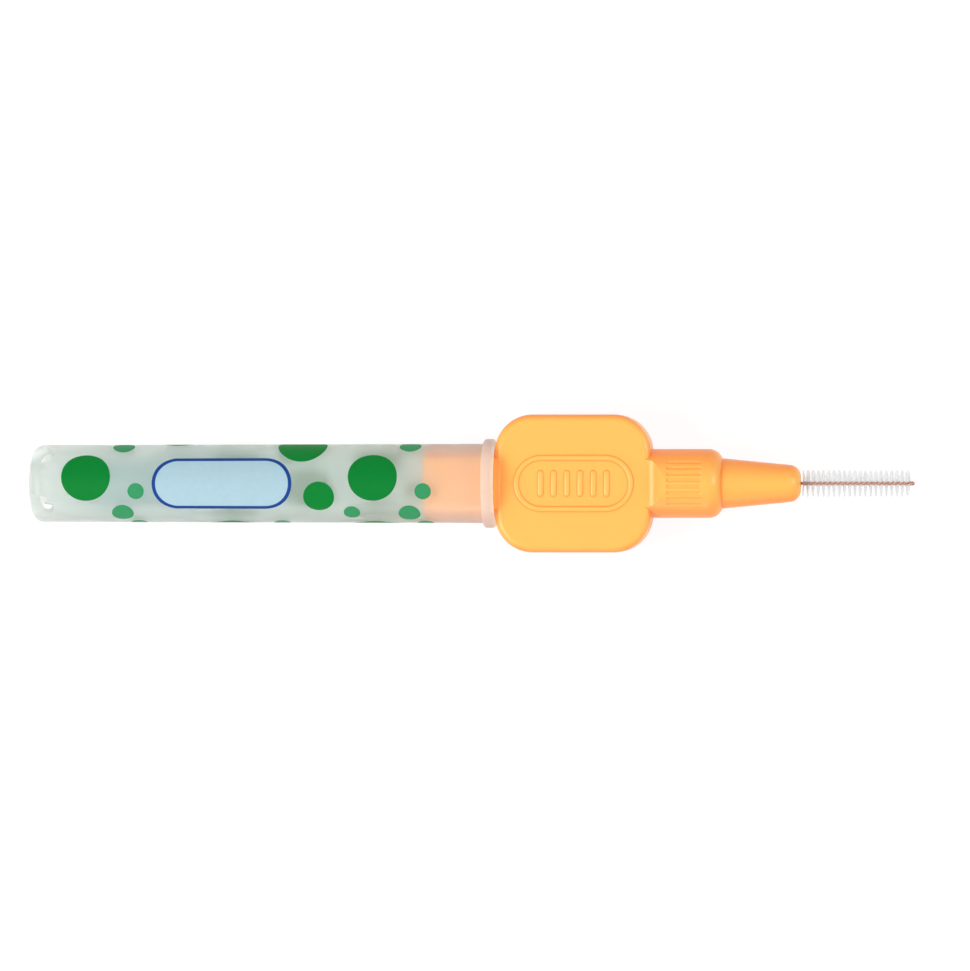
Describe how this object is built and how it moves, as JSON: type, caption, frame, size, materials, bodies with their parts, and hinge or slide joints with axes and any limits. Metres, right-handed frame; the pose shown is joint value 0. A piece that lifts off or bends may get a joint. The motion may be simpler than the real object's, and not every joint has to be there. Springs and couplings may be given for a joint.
{
  "type": "interdental brush",
  "caption": "Interdental brush: a flat grip with a tapered nose that holds a twisted-wire filament brush, and a translucent tubular cap that pulls off the spigot behind the grip.",
  "frame": {"origin": "on the brush axis at the front edge of the grip, where the front collar starts", "axes": "+X along the brush axis towards the brush tip, +Z square out of the grip's flat face"},
  "size_m": [0.0975, 0.0152, 0.0098],
  "materials": {
    "handle_plastic": "satin moulded polypropylene",
    "cap_plastic": "translucent moulded polypropylene",
    "coated_wire": "fine coated steel wire, copper-coloured",
    "nylon_filament": "clear-white drawn nylon"
  },
  "bodies": {
    "handle": {"handle": "handle_plastic", "core_wire": "coated_wire", "filament_row_01": "nylon_filament", "filament_row_02": "nylon_filament", "filament_row_03": "nylon_filament", "filament_row_04": "nylon_filament", "filament_row_05": "nylon_filament", "filament_row_06": "nylon_filament", "filament_row_07": "nylon_filament", "filament_row_08": "nylon_filament", "filament_row_09": "nylon_filament", "filament_row_10": "nylon_filament", "filament_row_11": "nylon_filament", "filament_row_12": "nylon_filament", "filament_row_13": "nylon_filament", "filament_row_14": "nylon_filament", "filament_row_15": "nylon_filament", "filament_row_16": "nylon_filament", "filament_row_17": "nylon_filament", "filament_row_18": "nylon_filament", "filament_row_19": "nylon_filament", "filament_row_20": "nylon_filament", "filament_row_21": "nylon_filament"},
    "cap": {"cap": "cap_plastic"}
  },
  "joints": [
    {"name": "cap_pull", "type": "slide", "parent": "handle", "child": "cap", "axis": [-1, 0, 0], "range_m": [0, 0.03]}
  ]
}
